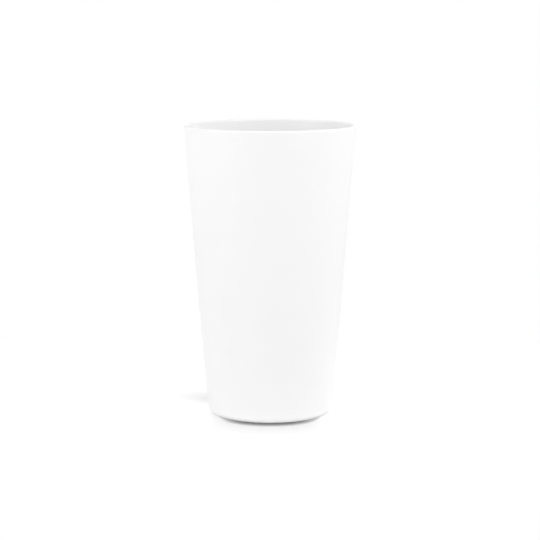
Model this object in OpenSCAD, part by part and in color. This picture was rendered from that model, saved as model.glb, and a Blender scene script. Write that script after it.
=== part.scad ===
// Reusable plastic cup: one injection-moulded piece with straight tapered sides.
// Its origin is the centre of the foot on the table, with +Z towards the mouth.
// One section holds the wall, lip, floor and foot, and is turned about the axis.
// Ribs in the floor's corner carry the next cup of a stack, so walls never wedge.

/* [Body] */
// Height from the table to the top of the lip
cup_h = 145.5; // [100:0.5:200]
// Outside diameter of the straight wall, taken at the height of the lip's top
rim_d = 86; // [78:0.5:110]
// Outside diameter of the straight wall, taken at the table
base_d = 63.5; // [50:0.5:72]
// Thickness of the wall, square to its face
wall_t = 1.8; // [1.2:0.1:3]

/* [Base] */
// Thickness of the floor
floor_t = 1.8; // [1.2:0.1:4]
// Rounding between the floor and the wall, inside the cup
floor_round = 3.5; // [1.5:0.1:10]
// Rounding between the foot and the wall, outside the cup
foot_round = 2.6; // [1:0.1:4.5]
// Width of the flat ring that stands on the table
foot_w = 1.2; // [0.6:0.1:3]
// Depth of the hollow under the floor
foot_h = 1.5; // [1:0.1:4]
// Rounding at the top and the bottom of the hollow's side
foot_edge = 0.5; // [0.2:0.05:0.5]

/* [Gate] */
// Diameter of the well round the gate, at its mouth
well_d = 9; // [6:0.5:16]
// Depth of the well
well_h = 0.5; // [0.2:0.05:0.8]
// Diameter of the gate's stub, at its root
stub_d = 1.8; // [1:0.1:3]
// Length of the gate's stub
stub_h = 0.4; // [0.1:0.05:0.6]

/* [Stacking] */
// Number of ribs that carry the next cup
rib_n = 6; // [3:1:12]
// Thickness of a rib
rib_t = 1.2; // [0.8:0.1:2.5]
// Lean of a rib's inner edge, which lets it off the mould
rib_draft = 1; // [0.25:0.25:3]
// Rounding at the top of a rib's inner edge
rib_round = 1; // [0.2:0.1:1.5]
// Gap between the walls of two stacked cups, measured level
stack_gap = 0.25; // [0.1:0.05:1]

/* [Hidden] */

// Flats in a full turn of the section
turn_fn = 120;
// Most degrees between two corners of a rounded edge
arc_step = 12;

// Level growth of the outside radius for each millimetre of height
taper = (rim_d - base_d) / 2 / cup_h;
// Lean of the wall from upright
lean = atan(taper);
// The lip is a half round as thick as the wall
lip_r = wall_t / 2;
// Height of the floor's upper face
floor_z = foot_h + floor_t;

// Radius of the outside of the wall at a height, or of a face that lies inset
// from it, square to it
function wall_x(z, inset = 0) = base_d / 2 + taper * z - inset / cos(lean);

// Corners of a rounded edge, from one angle to the other
function arc(centre, r, from, to) =
    let (n = ceil(abs(to - from) / arc_step))
    [
        for (i = [0 : n])
            let (a = from + (to - from) * i / n)
                centre + r * [cos(a), sin(a)]
    ];

// Centre of the round between the foot and the outside of the wall
foot_c = [wall_x(foot_round, foot_round), foot_round];
// Centre of the lip's half round
lip_c = [wall_x(cup_h - lip_r, lip_r), cup_h - lip_r];
// Centre of the round between the floor and the inside of the wall
floor_c = [wall_x(floor_z + floor_round, wall_t + floor_round), floor_z + floor_round];

// Radius where the foot's flat ring starts
flat_r = foot_c.x - foot_w;
// Radius of the hollow's side
hollow_r = flat_r - foot_edge;
// Height of the well's bottom
well_z = foot_h + well_h;

// Height from one stacked cup to the next, and so the height of a rib's top
stack_rise = (wall_t / cos(lean) + stack_gap) / taper;
// How far a rib runs into the wall and the floor
rib_root = min(wall_t, floor_t) / 2;

// Under the floor: the gate's stub and well, then the hollow's side and edges
function underside() = concat(
    [
        [0, well_z - stub_h],
        [stub_d / 2 - stub_h / 2, well_z - stub_h],
        [stub_d / 2, well_z],
        [well_d / 2 - well_h, well_z],
        [well_d / 2, foot_h]
    ],
    arc([hollow_r - foot_edge, foot_h - foot_edge], foot_edge, 90, 0),
    arc([flat_r, foot_edge], foot_edge, 180, 270)
);

// Up the outside from the foot, over the lip and down the inside to the floor
function shell() = concat(
    arc(foot_c, foot_round, -90, -lean),
    arc(lip_c, lip_r, -lean, 180 - lean),
    arc(floor_c, floor_round, -lean, -90),
    [[0, floor_z]]
);

// A rib's outline, whose flat top starts where the foot's flat ring does
function rib_outline() =
    let (
        low_z = floor_z - rib_root,
        low_r = flat_r - rib_round - (stack_rise - low_z) * tan(rib_draft)
    )
    concat(
        [[low_r, low_z]],
        arc([flat_r, stack_rise - rib_round], rib_round, 180, 90),
        [
            [wall_x(stack_rise, rib_root), stack_rise],
            [wall_x(low_z, rib_root), low_z]
        ]
    );

module stacking_rib() {
    rotate([90, 0, 0])
        linear_extrude(height = rib_t, center = true)
            polygon(rib_outline());
}

module cup() {
    color("whitesmoke") {
        rotate_extrude($fn = turn_fn)
            polygon(concat(underside(), shell()));
        for (i = [0 : rib_n - 1])
            rotate([0, 0, i * 360 / rib_n])
                stacking_rib();
    }
}

cup();
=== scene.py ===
"""A white, moulded, reusable plastic cup on a pale studio floor."""
import math

import bmesh
import bpy
from bpy.props import FloatProperty, FloatVectorProperty, IntProperty, PointerProperty
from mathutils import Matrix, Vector


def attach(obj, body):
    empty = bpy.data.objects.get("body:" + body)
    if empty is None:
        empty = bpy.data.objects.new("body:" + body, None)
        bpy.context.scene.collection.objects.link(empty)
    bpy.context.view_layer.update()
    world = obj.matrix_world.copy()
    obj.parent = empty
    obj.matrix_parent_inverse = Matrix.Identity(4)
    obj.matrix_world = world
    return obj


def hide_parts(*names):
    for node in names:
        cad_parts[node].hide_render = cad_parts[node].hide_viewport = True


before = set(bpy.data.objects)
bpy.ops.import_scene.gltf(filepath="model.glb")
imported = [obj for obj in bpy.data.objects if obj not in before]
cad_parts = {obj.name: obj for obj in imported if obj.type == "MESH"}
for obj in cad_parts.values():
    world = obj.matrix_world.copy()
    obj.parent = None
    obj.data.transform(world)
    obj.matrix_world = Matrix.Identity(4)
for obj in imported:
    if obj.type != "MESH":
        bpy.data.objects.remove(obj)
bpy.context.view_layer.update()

bl_info = {
    "name": "Reusable plastic cup",
    "version": (1, 0, 0),
    "blender": (4, 5, 0),
    "location": "3D View > Sidebar > Cup",
    "description": "Models a moulded plastic cup and the stage that it stands on",
    "category": "Object",
}

# The photograph's width in pixels, in which the camera's focal length was found
PHOTO_WIDTH_PX = 540
FOCAL_LENGTH_PX = 1750
SENSOR_WIDTH_MM = 36

# Facets from one rib to the next, of which the middle two carry a rib
FACETS_PER_RIB = 54
# Stretches into which each long wall is divided, from the foot to the lip
WALL_ROWS = 16
# Facets of the rounds: at the hollow, the foot, the lip's halves, the floor and the ribs
HOLLOW_FACETS = 4
FOOT_FACETS = 10
LIP_FACETS = 9
FLOOR_FACETS = 10
RIB_FACETS = 8
EDGE_FACETS = 4
# How fine the pigment's, the sheen's, the ripple's and the grain's patterns are, per metre
PIGMENT_SCALE = 45
SHEEN_SCALE = 160
RIPPLE_SCALE = 70
GRAIN_SCALE = 2600
# How far the roughness strays from its mean
SHEEN_SPREAD = 0.05
# Refractive index of polypropylene
PLASTIC_IOR = 1.49
# Tones painted into the seen floor in front of the cup and behind it, the lighter one behind,
# over the lamps' shadows, and the cosines from behind between which the one turns into the other
PAINTED_FLOOR_TONES = (0.78, 1.0)
PAINTED_FLOOR_TURN = (-0.35, 0.05)
# Painted shade of the line and of the fringe round the foot, where this share of the sky is open
PAINTED_LINE_SHADE, LINE_SKY = 0.4, 0.66
PAINTED_FRINGE_SHADE, FRINGE_SKY = 0.41, 0.5
# Cosines from behind between which both painted shades fade out, from the front and from the back
FRONT_TURN = (-1.0, -0.35)
BACK_TURN = (0.1, 0.6)
# Rays by which a point of the floor looks for the cup, to set its painted shade
CREASE_SAMPLES = 32
# Corners that lie closer than this are one corner
TOUCH = 6e-6
# An edge belongs to a corner of a rib when its ends lie closer to it than this
NEAR_CORNER = 3e-4
# Facets that meet at less than this are shaded as one curved face
SMOOTH_BELOW = math.radians(35)


class CupSizes(bpy.types.PropertyGroup):
    """Sizes of the moulding."""

    height: FloatProperty(
        name="Height", description="From the table to the top of the lip",
        default=0.1455, unit="LENGTH",
    )
    rim_diameter: FloatProperty(
        name="Rim diameter", description="Outside of the straight wall, at the lip's top",
        default=0.086, unit="LENGTH",
    )
    base_diameter: FloatProperty(
        name="Base diameter", description="Outside of the straight wall, at the table",
        default=0.0635, unit="LENGTH",
    )
    wall: FloatProperty(
        name="Wall", description="Thickness of the wall, square to its face",
        default=0.0018, unit="LENGTH",
    )
    floor: FloatProperty(
        name="Floor", description="Thickness of the floor",
        default=0.0018, unit="LENGTH",
    )
    floor_round: FloatProperty(
        name="Floor rounding", description="Between the floor and the wall, inside",
        default=0.0035, unit="LENGTH",
    )
    foot_round: FloatProperty(
        name="Foot rounding", description="Between the foot and the wall, outside",
        default=0.0026, unit="LENGTH",
    )
    foot_width: FloatProperty(
        name="Foot width", description="Width of the flat ring that stands on the table",
        default=0.0012, unit="LENGTH",
    )
    hollow_depth: FloatProperty(
        name="Hollow depth", description="Depth of the hollow under the floor",
        default=0.0015, unit="LENGTH",
    )
    hollow_round: FloatProperty(
        name="Hollow rounding", description="At the top and the bottom of the hollow's side",
        default=0.0005, unit="LENGTH",
    )
    well_diameter: FloatProperty(
        name="Well diameter", description="Mouth of the well round the gate",
        default=0.009, unit="LENGTH",
    )
    well_depth: FloatProperty(
        name="Well depth", description="Depth of the well round the gate",
        default=0.0005, unit="LENGTH",
    )
    stub_diameter: FloatProperty(
        name="Stub diameter", description="Root of the gate's stub",
        default=0.0018, unit="LENGTH",
    )
    stub_length: FloatProperty(
        name="Stub length", description="Length of the gate's stub",
        default=0.0004, unit="LENGTH",
    )
    rib_count: IntProperty(
        name="Ribs", description="Ribs that carry the next cup of a stack",
        default=6, min=3,
    )
    rib_thickness: FloatProperty(
        name="Rib thickness", description="Thickness of a rib",
        default=0.0012, unit="LENGTH",
    )
    rib_draft: FloatProperty(
        name="Rib draft", description="Lean of a rib's inner edge",
        default=math.radians(1), subtype="ANGLE",
    )
    rib_round: FloatProperty(
        name="Rib rounding", description="At the top of a rib's inner edge",
        default=0.001, unit="LENGTH",
    )
    rib_edge: FloatProperty(
        name="Rib edge", description="Small rounding along a rib's free edges",
        default=0.0002, unit="LENGTH",
    )
    stack_gap: FloatProperty(
        name="Stack gap", description="Between the walls of two stacked cups, measured level",
        default=0.00025, unit="LENGTH",
    )


class CupFinish(bpy.types.PropertyGroup):
    """Colour and surface of the moulded plastic."""

    colour: FloatVectorProperty(
        name="Colour", description="White of the plastic",
        default=(0.972, 0.972, 0.972), size=3, subtype="COLOR", min=0, max=1,
    )
    thin_colour: FloatVectorProperty(
        name="Thin colour", description="White of the plastic where its pigment is thinner",
        default=(0.962, 0.962, 0.962), size=3, subtype="COLOR", min=0, max=1,
    )
    roughness: FloatProperty(
        name="Roughness", description="Mean roughness of the moulded face",
        default=0.38, min=0, max=1, subtype="FACTOR",
    )
    translucence: FloatProperty(
        name="Translucence", description="Share of the light that goes into the plastic",
        default=0.35, min=0, max=1, subtype="FACTOR",
    )
    light_reach: FloatProperty(
        name="Light reach", description="How far light goes in the plastic before it scatters",
        default=0.005, unit="LENGTH",
    )
    grain_depth: FloatProperty(
        name="Grain depth", description="Depth of the mould's fine grain",
        default=0.000004, unit="LENGTH",
    )
    ripple_depth: FloatProperty(
        name="Ripple depth", description="Depth of the slow ripple that cooling leaves",
        default=0.00003, unit="LENGTH",
    )


class StageSettings(bpy.types.PropertyGroup):
    """Floor, lamps and camera."""

    floor_colour: FloatVectorProperty(
        name="Floor colour", description="White of the floor, as it lights the cup",
        default=(0.88, 0.88, 0.88), size=3, subtype="COLOR", min=0, max=1,
    )
    floor_width: FloatProperty(
        name="Floor width", description="Length of the floor's sides",
        default=12, unit="LENGTH",
    )
    # Within this radius the seen floor shows its real light with a painted glow and painted shade
    # at the foot
    lit_and_painted_radius: FloatProperty(
        name="Lit radius", description="Round the cup, where the floor shows only its real light",
        default=0.06, unit="LENGTH",
    )
    white_radius: FloatProperty(
        name="White radius", description="Beyond this the floor is seen as plain white",
        default=0.25, unit="LENGTH",
    )
    # Strength of the painted glow on the seen floor, which hides the lamps' shadows there
    painted_floor_glow: FloatProperty(
        name="Floor glow", description="What the seen floor adds to its light, to be seen white",
        default=0.5, min=0,
    )
    # Reach of the painted dark line of shade round the foot
    painted_line_reach: FloatProperty(
        name="Line reach", description="How far the dark line round the foot spreads",
        default=0.0068, unit="LENGTH",
    )
    # Reach of the faint painted shade beyond that line
    painted_fringe_reach: FloatProperty(
        name="Fringe reach", description="How far from the foot the cup still dims the floor",
        default=0.06, unit="LENGTH",
    )
    sky: FloatProperty(
        name="Sky", description="Strength of the even light from all round",
        default=0.47, min=0,
    )
    left_power: FloatProperty(
        name="Left lamp", description="Power of the soft lamp at the left",
        default=22, min=0, subtype="POWER",
    )
    right_power: FloatProperty(
        name="Right lamp", description="Power of the soft lamp at the right",
        default=24, min=0, subtype="POWER",
    )
    lamp_size: FloatProperty(
        name="Lamp size", description="Length of each lamp's sides",
        default=1.6, unit="LENGTH",
    )
    lamp_distance: FloatProperty(
        name="Lamp distance", description="From each lamp to the cup's middle",
        default=2.0, unit="LENGTH",
    )
    camera_distance: FloatProperty(
        name="Camera distance", description="From the cup's axis to the camera, measured level",
        default=0.874, unit="LENGTH",
    )
    camera_height: FloatProperty(
        name="Camera height", description="Height of the camera above the table",
        default=0.2086, unit="LENGTH",
    )
    camera_tilt: FloatProperty(
        name="Camera tilt", description="How far the camera looks down",
        default=math.radians(8.88), subtype="ANGLE",
    )


class Section:
    """The cup's section, worked out from its sizes."""

    def __init__(self, sizes):
        self.sizes = sizes
        self.taper = (sizes.rim_diameter - sizes.base_diameter) / 2 / sizes.height
        self.lean = math.atan(self.taper)
        self.floor_top = sizes.hollow_depth + sizes.floor
        level_wall = sizes.wall / math.cos(self.lean)
        self.rib_top = (level_wall + sizes.stack_gap) / self.taper
        self.flat_outer = self.wall_radius(0) - self.reach_low(sizes.foot_round)
        self.flat_inner = self.flat_outer - sizes.foot_width
        self.hollow_radius = self.flat_inner - sizes.hollow_round
        rib_slant = (self.rib_top - self.floor_top) * math.tan(sizes.rib_draft)
        self.rib_foot = self.flat_inner - sizes.rib_round - rib_slant

    def wall_radius(self, height, inset=0.0):
        """Radius at a height of the wall's outside, or of a face inset square to it."""
        outside = self.sizes.base_diameter / 2 + self.taper * height
        return outside - inset / math.cos(self.lean)

    def reach_low(self, radius):
        """How far a round reaches along its sides where the wall leans away from a level face."""
        return radius * math.tan((math.pi / 2 - self.lean) / 2)

    def reach_high(self, radius):
        """How far a round reaches along its sides where the wall leans over a level face."""
        return radius * math.tan((math.pi / 2 + self.lean) / 2)

    def corners(self):
        """Radius, height, reach of the round and its facets, from axis to axis."""
        s = self.sizes
        well_top = s.hollow_depth + s.well_depth
        stub_end = well_top - s.stub_length
        lip = s.wall / 2
        return [
            (0, stub_end, 0, 0),
            ((s.stub_diameter - s.stub_length) / 2, stub_end, 0, 0),
            (s.stub_diameter / 2, well_top, 0, 0),
            (s.well_diameter / 2 - s.well_depth, well_top, 0, 0),
            (s.well_diameter / 2, s.hollow_depth, 0, 0),
            (self.hollow_radius, s.hollow_depth, s.hollow_round, HOLLOW_FACETS),
            (self.hollow_radius, 0, s.hollow_round, HOLLOW_FACETS),
            (self.wall_radius(0), 0, self.reach_low(s.foot_round), FOOT_FACETS),
            (self.wall_radius(s.height), s.height, self.reach_high(lip), LIP_FACETS),
            (self.wall_radius(s.height, s.wall), s.height, self.reach_low(lip), LIP_FACETS),
            (self.wall_radius(self.rib_top, s.wall), self.rib_top, 0, 0),
            (
                self.wall_radius(self.floor_top, s.wall),
                self.floor_top,
                self.reach_low(s.floor_round),
                FLOOR_FACETS,
            ),
            (self.rib_foot, self.floor_top, 0, 0),
            (0, self.floor_top, 0, 0),
        ]


def deselect_all():
    """Leaves nothing selected, so that an operator acts only on what comes next."""
    if bpy.context.object and bpy.context.object.mode != "OBJECT":
        bpy.ops.object.mode_set(mode="OBJECT")
    bpy.ops.object.select_all(action="DESELECT")


def select_where(kind, test):
    """Selects the vertices, edges or faces of the edited mesh that pass the test."""
    bpy.ops.mesh.select_mode(type=kind)
    bpy.ops.mesh.select_all(action="DESELECT")
    mesh = bmesh.from_edit_mesh(bpy.context.object.data)
    parts = {"VERT": mesh.verts, "EDGE": mesh.edges, "FACE": mesh.faces}[kind]
    picked = [part for part in parts if test(part)]
    if not picked:
        raise RuntimeError("The mesh has no part where the next step needs one.")
    for part in picked:
        part.select_set(True)
    mesh.select_flush_mode()
    bmesh.update_edit_mesh(bpy.context.object.data)


def draw_outline(section, turn):
    """Draws the section's outline, corner by corner, in the upright plane at this turn."""
    corners = section.corners()
    bpy.ops.mesh.primitive_plane_add(size=section.sizes.wall)
    bpy.ops.object.mode_set(mode="EDIT")
    bpy.ops.mesh.merge(type="CENTER")
    bpy.ops.transform.translate(value=(0, 0, corners[0][1]))
    for (radius, height, _, _), (next_radius, next_height, _, _) in zip(corners, corners[1:]):
        out = next_radius - radius
        step = (out * math.cos(turn), out * math.sin(turn), next_height - height)
        bpy.ops.mesh.extrude_region_move(TRANSFORM_OT_translate={"value": step})


def round_corners(section):
    """Rounds the outline's corners that have a round."""
    for radius, height, reach, facets in section.corners():
        if not reach:
            continue
        corner = (radius, height)
        select_where(
            "VERT",
            lambda vertex: math.dist((vertex.co.xy.length, vertex.co.z), corner) < TOUCH,
        )
        bpy.ops.mesh.bevel(offset=reach, segments=facets, affect="VERTICES")


def divide_walls(section):
    """Divides the two long walls of the outline into rows."""
    long = section.sizes.height / 2
    select_where("EDGE", lambda edge: edge.calc_length() > long)
    bpy.ops.mesh.subdivide(number_cuts=WALL_ROWS - 1)


def spin_sector(turn):
    """Turns the outline through the sector that one rib has, which is centred on +X."""
    bpy.ops.mesh.select_all(action="SELECT")
    bpy.ops.mesh.spin(
        steps=FACETS_PER_RIB, angle=2 * turn, center=(0, 0, 0), axis=(0, 0, 1)
    )
    close_seams()


def close_seams():
    """Joins corners that lie together, drops faces without area and points the rest outward."""
    bpy.ops.mesh.select_all(action="SELECT")
    bpy.ops.mesh.remove_doubles(threshold=TOUCH)
    bpy.ops.mesh.dissolve_degenerate(threshold=TOUCH)
    bpy.ops.mesh.normals_make_consistent(inside=False)


def raise_rib(section, turn):
    """Pulls the sector's middle strip inward, from the floor up to the rib's top."""
    sizes = section.sizes
    half = sizes.rib_thickness / 2
    facet = 2 * turn / FACETS_PER_RIB
    foot, low, top = section.rib_foot, section.floor_top, section.rib_top

    def in_strip(face):
        place = face.calc_center_median()
        inside = foot < place.x < section.wall_radius(place.z, sizes.wall / 2)
        level = low - TOUCH < place.z < top
        return inside and level and abs(math.atan2(place.y, place.x)) < facet

    for side in (1, -1):
        select_where(
            "VERT",
            lambda vertex: vertex.co.y * side > TOUCH and any(map(in_strip, vertex.link_faces)),
        )
        bpy.ops.transform.resize(value=(1, 0, 1), center_override=(0, side * half, 0))
    select_where("FACE", in_strip)
    bpy.ops.mesh.extrude_region_move()
    bpy.ops.transform.resize(value=(0, 1, 1), center_override=(foot, 0, low))
    bpy.ops.transform.rotate(
        value=-sizes.rib_draft, orient_axis="Y", center_override=(foot, 0, low)
    )


def round_rib(section):
    """Rounds the top of the rib's inner edge, and then the rib's free edges."""
    sizes = section.sizes
    half = sizes.rib_thickness / 2
    corner = section.flat_inner - sizes.rib_round

    def on_top_corner(edge):
        return all(
            math.dist((vertex.co.x, vertex.co.z), (corner, section.rib_top)) < NEAR_CORNER
            for vertex in edge.verts
        )

    def is_free(edge):
        at_side = all(abs(abs(vertex.co.y) - half) < TOUCH for vertex in edge.verts)
        return at_side and edge.is_convex and edge.calc_face_angle(0) > SMOOTH_BELOW

    select_where("EDGE", on_top_corner)
    bpy.ops.mesh.bevel(offset=sizes.rib_round, segments=RIB_FACETS)
    select_where("EDGE", is_free)
    bpy.ops.mesh.bevel(offset=sizes.rib_edge, segments=EDGE_FACETS)


def repeat_sector(turn):
    """Copies the sector all the way round the axis."""
    sectors = round(math.pi / turn)
    bpy.ops.mesh.select_all(action="SELECT")
    bpy.ops.mesh.spin(
        steps=sectors - 1, angle=2 * turn * (sectors - 1), dupli=True,
        center=(0, 0, 0), axis=(0, 0, 1),
    )
    close_seams()


def smooth_faces(body):
    """Shades the rounds as curves, with the flat and straight faces kept true."""
    bpy.ops.object.mode_set(mode="OBJECT")
    bpy.ops.object.shade_smooth_by_angle(angle=SMOOTH_BELOW)
    modifier = body.modifiers.new("True faces", "WEIGHTED_NORMAL")
    modifier.keep_sharp = True
    bpy.ops.object.modifier_apply(modifier=modifier.name)


def new_nodes(owner):
    """Switches an owner to nodes, empties its tree and returns the two lists to add to."""
    owner.use_nodes = True
    owner.node_tree.nodes.clear()
    return owner.node_tree.nodes, owner.node_tree.links


def moulded_plastic(finish):
    """White polypropylene with a soft sheen, the mould's fine grain and a slow ripple."""
    material = bpy.data.materials.new("moulded_plastic")
    nodes, links = new_nodes(material)
    place = nodes.new("ShaderNodeTexCoord").outputs["Object"]

    def noise(scale, detail):
        node = nodes.new("ShaderNodeTexNoise")
        node.inputs["Scale"].default_value = scale
        node.inputs["Detail"].default_value = detail
        links.new(place, node.inputs["Vector"])
        return node.outputs["Fac"]

    pigment = nodes.new("ShaderNodeMix")
    pigment.data_type = "RGBA"
    pigment.inputs["A"].default_value = (*finish.colour, 1)
    pigment.inputs["B"].default_value = (*finish.thin_colour, 1)
    links.new(noise(PIGMENT_SCALE, detail=3), pigment.inputs["Factor"])

    sheen = nodes.new("ShaderNodeMapRange")
    sheen.inputs["To Min"].default_value = finish.roughness - SHEEN_SPREAD
    sheen.inputs["To Max"].default_value = finish.roughness + SHEEN_SPREAD
    links.new(noise(SHEEN_SCALE, detail=4), sheen.inputs["Value"])

    ripple = nodes.new("ShaderNodeBump")
    ripple.inputs["Distance"].default_value = finish.ripple_depth
    links.new(noise(RIPPLE_SCALE, detail=1), ripple.inputs["Height"])
    grain = nodes.new("ShaderNodeBump")
    grain.inputs["Distance"].default_value = finish.grain_depth
    links.new(noise(GRAIN_SCALE, detail=2), grain.inputs["Height"])
    links.new(ripple.outputs["Normal"], grain.inputs["Normal"])

    surface = nodes.new("ShaderNodeBsdfPrincipled")
    surface.inputs["IOR"].default_value = PLASTIC_IOR
    surface.inputs["Subsurface Weight"].default_value = finish.translucence
    surface.inputs["Subsurface Radius"].default_value = (1, 1, 1)
    surface.inputs["Subsurface Scale"].default_value = finish.light_reach
    links.new(pigment.outputs["Result"], surface.inputs["Base Color"])
    links.new(sheen.outputs["Result"], surface.inputs["Roughness"])
    links.new(grain.outputs["Normal"], surface.inputs["Normal"])
    output = nodes.new("ShaderNodeOutputMaterial")
    links.new(surface.outputs["BSDF"], output.inputs["Surface"])
    return material


def seen_ray(nodes, links):
    """1 on rays that show a background: straight, in a gloss or through something clear."""
    path = nodes.new("ShaderNodeLightPath")
    total = path.outputs["Is Camera Ray"]
    for kind in ("Is Glossy Ray", "Is Transmission Ray"):
        add = nodes.new("ShaderNodeMath")
        add.operation = "MAXIMUM"
        links.new(total, add.inputs[0])
        links.new(path.outputs[kind], add.inputs[1])
        total = add.outputs[0]
    return total


def studio_air(sky):
    """Even light from all round, which is plain white wherever it is seen."""
    world = bpy.data.worlds.new("studio_air")
    bpy.context.scene.world = world
    nodes, links = new_nodes(world)
    even = nodes.new("ShaderNodeBackground")
    even.inputs["Strength"].default_value = sky
    even.inputs["Color"].default_value = (1, 1, 1, 1)
    white = nodes.new("ShaderNodeBackground")
    white.inputs["Color"].default_value = (1, 1, 1, 1)
    either = nodes.new("ShaderNodeMixShader")
    links.new(seen_ray(nodes, links), either.inputs["Fac"])
    links.new(even.outputs[0], either.inputs[1])
    links.new(white.outputs[0], either.inputs[2])
    output = nodes.new("ShaderNodeOutputWorld")
    links.new(either.outputs[0], output.inputs["Surface"])


def painted_crease_tone(nodes, links, settings):
    """Painted shade of the seen floor: full in the open, low in a line at the foot, with a faint
    fringe.

    Both are strongest in front and behind and fade out at the sides, as the line narrows.
    """
    def feed(socket, value):
        if isinstance(value, bpy.types.NodeSocket):
            links.new(value, socket)
        else:
            socket.default_value = value

    def worked(operation, *values):
        node = nodes.new("ShaderNodeMath")
        node.operation = operation
        for value, socket in zip(values, node.inputs):
            feed(socket, value)
        return node.outputs["Value"]

    def ramped(value, start, end, low, high, curve="LINEAR"):
        node = nodes.new("ShaderNodeMapRange")
        node.interpolation_type = curve
        feed(node.inputs["Value"], value)
        feed(node.inputs["From Min"], start)
        feed(node.inputs["From Max"], end)
        feed(node.inputs["To Min"], low)
        feed(node.inputs["To Max"], high)
        return node.outputs["Result"]

    def shade(reach, least_sky, darkest):
        node = nodes.new("ShaderNodeAmbientOcclusion")
        node.samples = CREASE_SAMPLES
        feed(node.inputs["Distance"], reach)
        return ramped(node.outputs["AO"], least_sky, 1, darkest, 0)

    place = nodes.new("ShaderNodeTexCoord")
    bearing = nodes.new("ShaderNodeVectorMath")
    bearing.operation = "NORMALIZE"
    links.new(place.outputs["Object"], bearing.inputs[0])
    along = nodes.new("ShaderNodeSeparateXYZ")
    links.new(bearing.outputs["Vector"], along.inputs["Vector"])
    behind = along.outputs["Y"]
    front_share = ramped(behind, *FRONT_TURN, 1, 0, "SMOOTHSTEP")
    share = worked("ADD", front_share, ramped(behind, *BACK_TURN, 0, 1, "SMOOTHSTEP"))

    # Painted dark line at the foot and painted fringe beyond it, set by how much sky the cup
    # hides
    reach = worked("MULTIPLY", worked("POWER", share, 2), settings.painted_line_reach)
    line = shade(reach, LINE_SKY, PAINTED_LINE_SHADE)
    fringe = shade(settings.painted_fringe_reach, FRINGE_SKY, PAINTED_FRINGE_SHADE)
    dark = worked("MULTIPLY", share, worked("ADD", line, fringe))
    # Painted lighter tone behind the cup, over the lamps' shadows
    painted_paper = ramped(behind, *PAINTED_FLOOR_TURN, *PAINTED_FLOOR_TONES, "SMOOTHSTEP")
    return worked("MULTIPLY", painted_paper, worked("SUBTRACT", 1, dark))


def distance_share(nodes, links, start, end):
    """0 within the start radius of the cup's axis, and 1 beyond the end radius."""
    place = nodes.new("ShaderNodeTexCoord")
    length = nodes.new("ShaderNodeVectorMath")
    length.operation = "LENGTH"
    links.new(place.outputs["Object"], length.inputs[0])
    share = nodes.new("ShaderNodeMapRange")
    share.interpolation_type = "SMOOTHSTEP"
    share.inputs["From Min"].default_value = start
    share.inputs["From Max"].default_value = end
    links.new(length.outputs["Value"], share.inputs["Value"])
    return share.outputs["Result"]


def studio_floor(settings):
    """A wide matt floor, seen white in the distance; round the cup, real light with painted glow
    and shade.
    """
    bpy.ops.mesh.primitive_plane_add(size=settings.floor_width)
    floor = bpy.context.object
    floor.name = "studio_floor"
    material = bpy.data.materials.new("studio_floor")
    nodes, links = new_nodes(material)

    def mixed(share, first, second):
        mix = nodes.new("ShaderNodeMixShader")
        links.new(share, mix.inputs["Fac"])
        links.new(first.outputs[0], mix.inputs[1])
        links.new(second.outputs[0], mix.inputs[2])
        return mix

    matt = nodes.new("ShaderNodeBsdfDiffuse")
    matt.inputs["Color"].default_value = (*settings.floor_colour, 1)
    # Painted shade at the foot and painted floor tones, which colour the seen floor's real light
    # and its glow
    painted_tone = painted_crease_tone(nodes, links, settings)
    painted_paper = nodes.new("ShaderNodeBsdfDiffuse")
    links.new(painted_tone, painted_paper.inputs["Color"])
    # Painted glow that the seen floor adds to its real light, which hides the lamps' shadows
    painted_glow = nodes.new("ShaderNodeEmission")
    painted_glow.inputs["Strength"].default_value = settings.painted_floor_glow
    links.new(painted_tone, painted_glow.inputs["Color"])
    seen = nodes.new("ShaderNodeAddShader")
    links.new(painted_paper.outputs[0], seen.inputs[0])
    links.new(painted_glow.outputs[0], seen.inputs[1])
    white = nodes.new("ShaderNodeEmission")
    far = distance_share(nodes, links, settings.lit_and_painted_radius, settings.white_radius)
    surface = mixed(seen_ray(nodes, links), matt, mixed(far, seen, white))
    output = nodes.new("ShaderNodeOutputMaterial")
    links.new(surface.outputs[0], output.inputs["Surface"])
    floor.data.materials.append(material)
    return floor


def soft_lamp(name, power, azimuth, elevation):
    """A soft lamp that faces the cup's middle, its azimuth counted rightward from the camera."""
    settings, sizes = bpy.context.scene.cup_stage, bpy.context.scene.cup_sizes
    azimuth, elevation = math.radians(azimuth), math.radians(elevation)
    level = settings.lamp_distance * math.cos(elevation)
    rise = settings.lamp_distance * math.sin(elevation)
    offset = Vector((level * math.sin(azimuth), -level * math.cos(azimuth), rise))
    facing = (-offset).to_track_quat("-Z", "Y").to_euler()
    middle = Vector((0, 0, sizes.height / 2))
    bpy.ops.object.light_add(type="AREA", location=middle + offset, rotation=facing)
    lamp = bpy.context.object
    lamp.name = name
    lamp.data.size = settings.lamp_size
    lamp.data.energy = power
    lamp.visible_camera = False


def photo_camera(settings):
    """The camera that fits the photograph."""
    bpy.ops.object.camera_add(
        location=(0, -settings.camera_distance, settings.camera_height),
        rotation=(math.pi / 2 - settings.camera_tilt, 0, 0),
    )
    camera = bpy.context.object
    camera.name = "photo_camera"
    camera.data.sensor_width = SENSOR_WIDTH_MM
    camera.data.lens = FOCAL_LENGTH_PX / PHOTO_WIDTH_PX * SENSOR_WIDTH_MM
    bpy.context.scene.camera = camera


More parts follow.
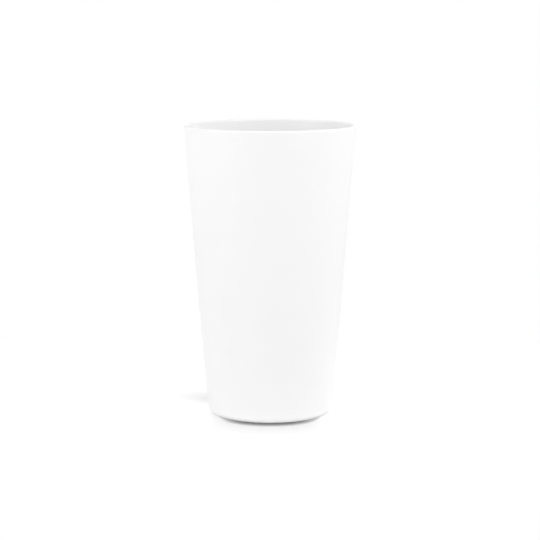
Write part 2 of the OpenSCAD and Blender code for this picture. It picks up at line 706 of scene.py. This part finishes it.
class CUP_OT_body(bpy.types.Operator):
    """Model the cup in its moulded white plastic"""

    bl_idname = "cup.body"
    bl_label = "Moulded body"

    def execute(self, context):
        section = Section(context.scene.cup_sizes)
        turn = math.pi / context.scene.cup_sizes.rib_count
        deselect_all()
        draw_outline(section, turn)
        body = context.object
        body.name = "cup_body"
        round_corners(section)
        divide_walls(section)
        spin_sector(turn)
        raise_rib(section, turn)
        round_rib(section)
        repeat_sector(turn)
        smooth_faces(body)
        body.data.materials.append(moulded_plastic(context.scene.cup_finish))
        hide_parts("cup")
        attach(body, "root")
        return {"FINISHED"}


class CUP_OT_stage(bpy.types.Operator):
    """Add the floor, the soft light and the camera"""

    bl_idname = "cup.stage"
    bl_label = "Studio stage"

    def execute(self, context):
        settings = context.scene.cup_stage
        deselect_all()
        studio_air(settings.sky)
        studio_floor(settings)
        soft_lamp("left_lamp", settings.left_power, azimuth=-60, elevation=12)
        soft_lamp("right_lamp", settings.right_power, azimuth=62, elevation=40)
        photo_camera(settings)
        context.scene.view_settings.view_transform = "Standard"
        return {"FINISHED"}


class CUP_PT_sidebar(bpy.types.Panel):
    """Sizes, finish and stage of the cup, with the steps that make them."""

    bl_idname = "CUP_PT_sidebar"
    bl_label = "Reusable plastic cup"
    bl_space_type = "VIEW_3D"
    bl_region_type = "UI"
    bl_category = "Cup"

    def draw(self, context):
        scene = context.scene
        for operator, groups in (
            (CUP_OT_body, (scene.cup_sizes, scene.cup_finish)),
            (CUP_OT_stage, (scene.cup_stage,)),
        ):
            self.layout.operator(operator.bl_idname)
            column = self.layout.column()
            for group in groups:
                for name in group.__annotations__:
                    column.prop(group, name)


GROUPS = {"cup_sizes": CupSizes, "cup_finish": CupFinish, "cup_stage": StageSettings}
STEPS = (CUP_OT_body, CUP_OT_stage)


def register():
    for cls in (*GROUPS.values(), *STEPS, CUP_PT_sidebar):
        bpy.utils.register_class(cls)
    for name, group in GROUPS.items():
        setattr(bpy.types.Scene, name, PointerProperty(type=group))


def unregister():
    for name in GROUPS:
        delattr(bpy.types.Scene, name)
    for cls in (CUP_PT_sidebar, *STEPS, *GROUPS.values()):
        bpy.utils.unregister_class(cls)


def main():
    register()
    bpy.ops.cup.body()
    bpy.ops.cup.stage()


if __name__ == "__main__":
    main()
